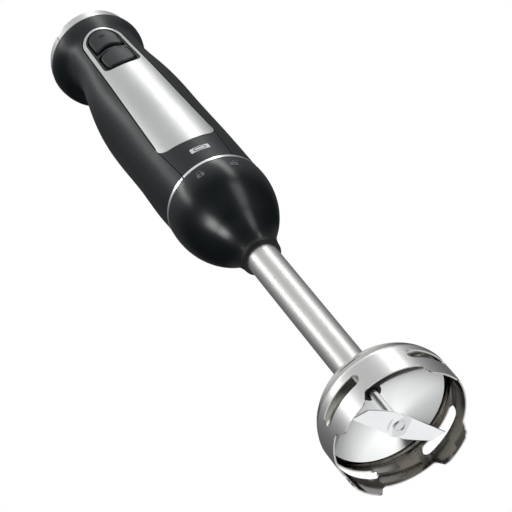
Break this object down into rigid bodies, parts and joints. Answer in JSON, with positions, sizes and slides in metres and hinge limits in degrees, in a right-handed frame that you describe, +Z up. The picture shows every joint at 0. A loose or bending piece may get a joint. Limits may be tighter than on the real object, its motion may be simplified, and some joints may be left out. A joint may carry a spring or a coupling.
{
  "type": "immersion blender",
  "caption": "Hand-held stick blender: black grip with silver face panel and push buttons, steel arm, open bladed guard; no cord.",
  "frame": {"origin": "middle of the blade guard on the plane of its feet", "axes": "+Z up the shaft from the guard to the head of the handle, -Y the side with the buttons, +X to the right when facing the buttons"},
  "size_m": [0.0694, 0.0694, 0.4021],
  "materials": {
    "gloss_black": "glossy moulded",
    "satin_black": "satin moulded",
    "button_black": "soft satin",
    "satin_silver": "satin silver coat",
    "bright_ring": "bright",
    "brushed_tube": "fine brushed round the tube",
    "polished_steel": "polished",
    "blade_steel": "ground",
    "black_rubber": "matte",
    "bearing_bronze": "sintered",
    "grey_nylon": "moulded nylon",
    "switch_black": "moulded",
    "board_green": "coated board",
    "bearing_steel": "ground",
    "lamination": "stacked sheet",
    "copper_wire": "enamelled wire",
    "commutator_copper": "turned copper",
    "brass_sheet": "folded sheet",
    "carbon": "pressed carbon"
  },
  "bodies": {
    "handle": {"junction_ring": "bright_ring", "bayonet_socket": "grey_nylon", "main_shell": "gloss_black", "front_cover": "satin_black", "face_panel": "satin_silver", "button_bezel": "satin_black", "control_board": "board_green", "upper_switch": "switch_black", "lower_switch": "switch_black", "top_band": "satin_silver", "top_cap": "satin_black", "cord_gland": "black_rubber", "motor_damper": "black_rubber", "lower_end_frame": "grey_nylon", "upper_end_frame": "grey_nylon", "lower_bearing": "bearing_steel", "upper_bearing": "bearing_steel", "stator_core": "lamination", "field_windings": "copper_wire", "carbon_brushes": "carbon", "brush_holders": "brass_sheet", "end_frame_screws": "bearing_steel"},
    "upper_button": {"upper_button": "button_black", "upper_plunger": "grey_nylon"},
    "lower_button": {"lower_button": "button_black", "lower_plunger": "grey_nylon"},
    "rotor": {"rotor_core": "lamination", "rotor_windings": "copper_wire", "commutator": "commutator_copper", "motor_shaft": "bearing_steel", "drive_coupler": "grey_nylon", "cooling_fan": "grey_nylon"},
    "arm": {"blade_guard": "polished_steel", "splash_dish": "polished_steel", "lower_bush_holder": "grey_nylon", "lip_seal": "black_rubber", "lower_bush": "bearing_bronze", "arm_tube": "brushed_tube", "tube_collar": "black_rubber", "coupling_housing": "gloss_black", "bayonet_core": "grey_nylon", "upper_bush": "bearing_bronze"},
    "blade_drive": {"blade": "blade_steel", "drive_shaft": "blade_steel", "blade_rivet": "blade_steel", "blade_spacer": "blade_steel", "arm_coupler": "grey_nylon"}
  },
  "joints": [
    {"name": "arm_twist", "type": "hinge", "parent": "handle", "child": "arm", "pos_m": [0, 0, 0.2112], "axis": [0, 0, 1], "range_deg": [-38, 0]},
    {"name": "rotor_spin", "type": "hinge", "parent": "handle", "child": "rotor", "pos_m": [0, 0, 0.27], "axis": [0, 0, 1], "continuous": true},
    {"name": "blade_spin", "type": "hinge", "parent": "arm", "child": "blade_drive", "pos_m": [0, 0, 0.12], "axis": [0, 0, 1], "continuous": true},
    {"name": "upper_button_press", "type": "slide", "parent": "handle", "child": "upper_button", "axis": [0, 1, 0], "range_m": [0, 0.0018], "stiffness_N_per_m": 1200},
    {"name": "lower_button_press", "type": "slide", "parent": "handle", "child": "lower_button", "axis": [0, 1, 0], "range_m": [0, 0.0018], "stiffness_N_per_m": 1200}
  ],
  "couplings": [
    {"joint": "blade_spin", "follows": "rotor_spin", "ratio": 1}
  ]
}
